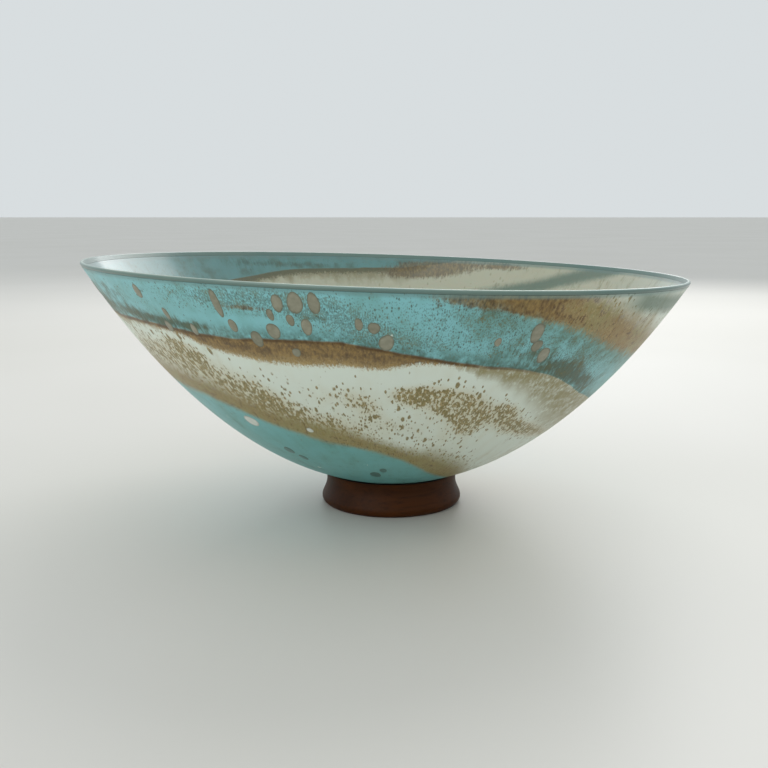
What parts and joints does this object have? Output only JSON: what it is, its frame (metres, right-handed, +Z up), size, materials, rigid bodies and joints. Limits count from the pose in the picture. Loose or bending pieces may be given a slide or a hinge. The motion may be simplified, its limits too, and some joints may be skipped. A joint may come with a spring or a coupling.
{
  "type": "art glass bowl",
  "caption": "Wide conical art glass bowl with a swirled turquoise, white and golden-brown overlay, glass chips and a small turned walnut foot.",
  "frame": {"origin": "centre of the foot's flat underside, on the surface that the bowl stands on", "axes": "+Z up along the axis of the foot and bowl; -X is the side where the oblique lip is highest and +X where it is lowest; -Y is the front, with the long white band"},
  "size_m": [0.279, 0.279, 0.1191],
  "materials": {
    "clear_glass": "polished clear glass with a faint grey-green tint, rounded and fire-polished at the lip",
    "colour_glass": "satin opaque coloured glass, swirled turquoise, milk white, golden brown and olive, speckled with powder",
    "stone_chip": "satin opaque clay-grey glass chip with a thin darker edge",
    "green_chip": "satin dark green glass chip",
    "pale_chip": "satin milk-white glass chip",
    "walnut": "oiled dark walnut, turned, with a soft sheen",
    "bond": "matte dark adhesive"
  },
  "bodies": {
    "root": {"clear_casing": "clear_glass", "colour_overlay": "colour_glass", "green_chip_01": "green_chip", "green_chip_02": "green_chip", "green_chip_03": "green_chip", "green_chip_04": "green_chip", "green_chip_05": "green_chip", "pale_chip_01": "pale_chip", "pale_chip_02": "pale_chip", "pale_chip_03": "pale_chip", "seat_bond": "bond", "stone_chip_01": "stone_chip", "stone_chip_02": "stone_chip", "stone_chip_03": "stone_chip", "stone_chip_04": "stone_chip", "stone_chip_05": "stone_chip", "stone_chip_06": "stone_chip", "stone_chip_07": "stone_chip", "stone_chip_08": "stone_chip", "stone_chip_09": "stone_chip", "stone_chip_10": "stone_chip", "stone_chip_11": "stone_chip", "stone_chip_12": "stone_chip", "stone_chip_13": "stone_chip", "stone_chip_14": "stone_chip", "stone_chip_15": "stone_chip", "stone_chip_16": "stone_chip", "stone_chip_17": "stone_chip", "stone_chip_18": "stone_chip", "stone_chip_19": "stone_chip", "stone_chip_20": "stone_chip", "stone_chip_21": "stone_chip", "stone_chip_22": "stone_chip", "stone_chip_23": "stone_chip", "stone_chip_24": "stone_chip", "stone_chip_25": "stone_chip", "stone_chip_26": "stone_chip", "stone_chip_27": "stone_chip", "stone_chip_28": "stone_chip", "stone_chip_29": "stone_chip", "stone_chip_30": "stone_chip", "stone_chip_31": "stone_chip", "stone_chip_32": "stone_chip", "walnut_foot": "walnut"}
  },
  "joints": []
}
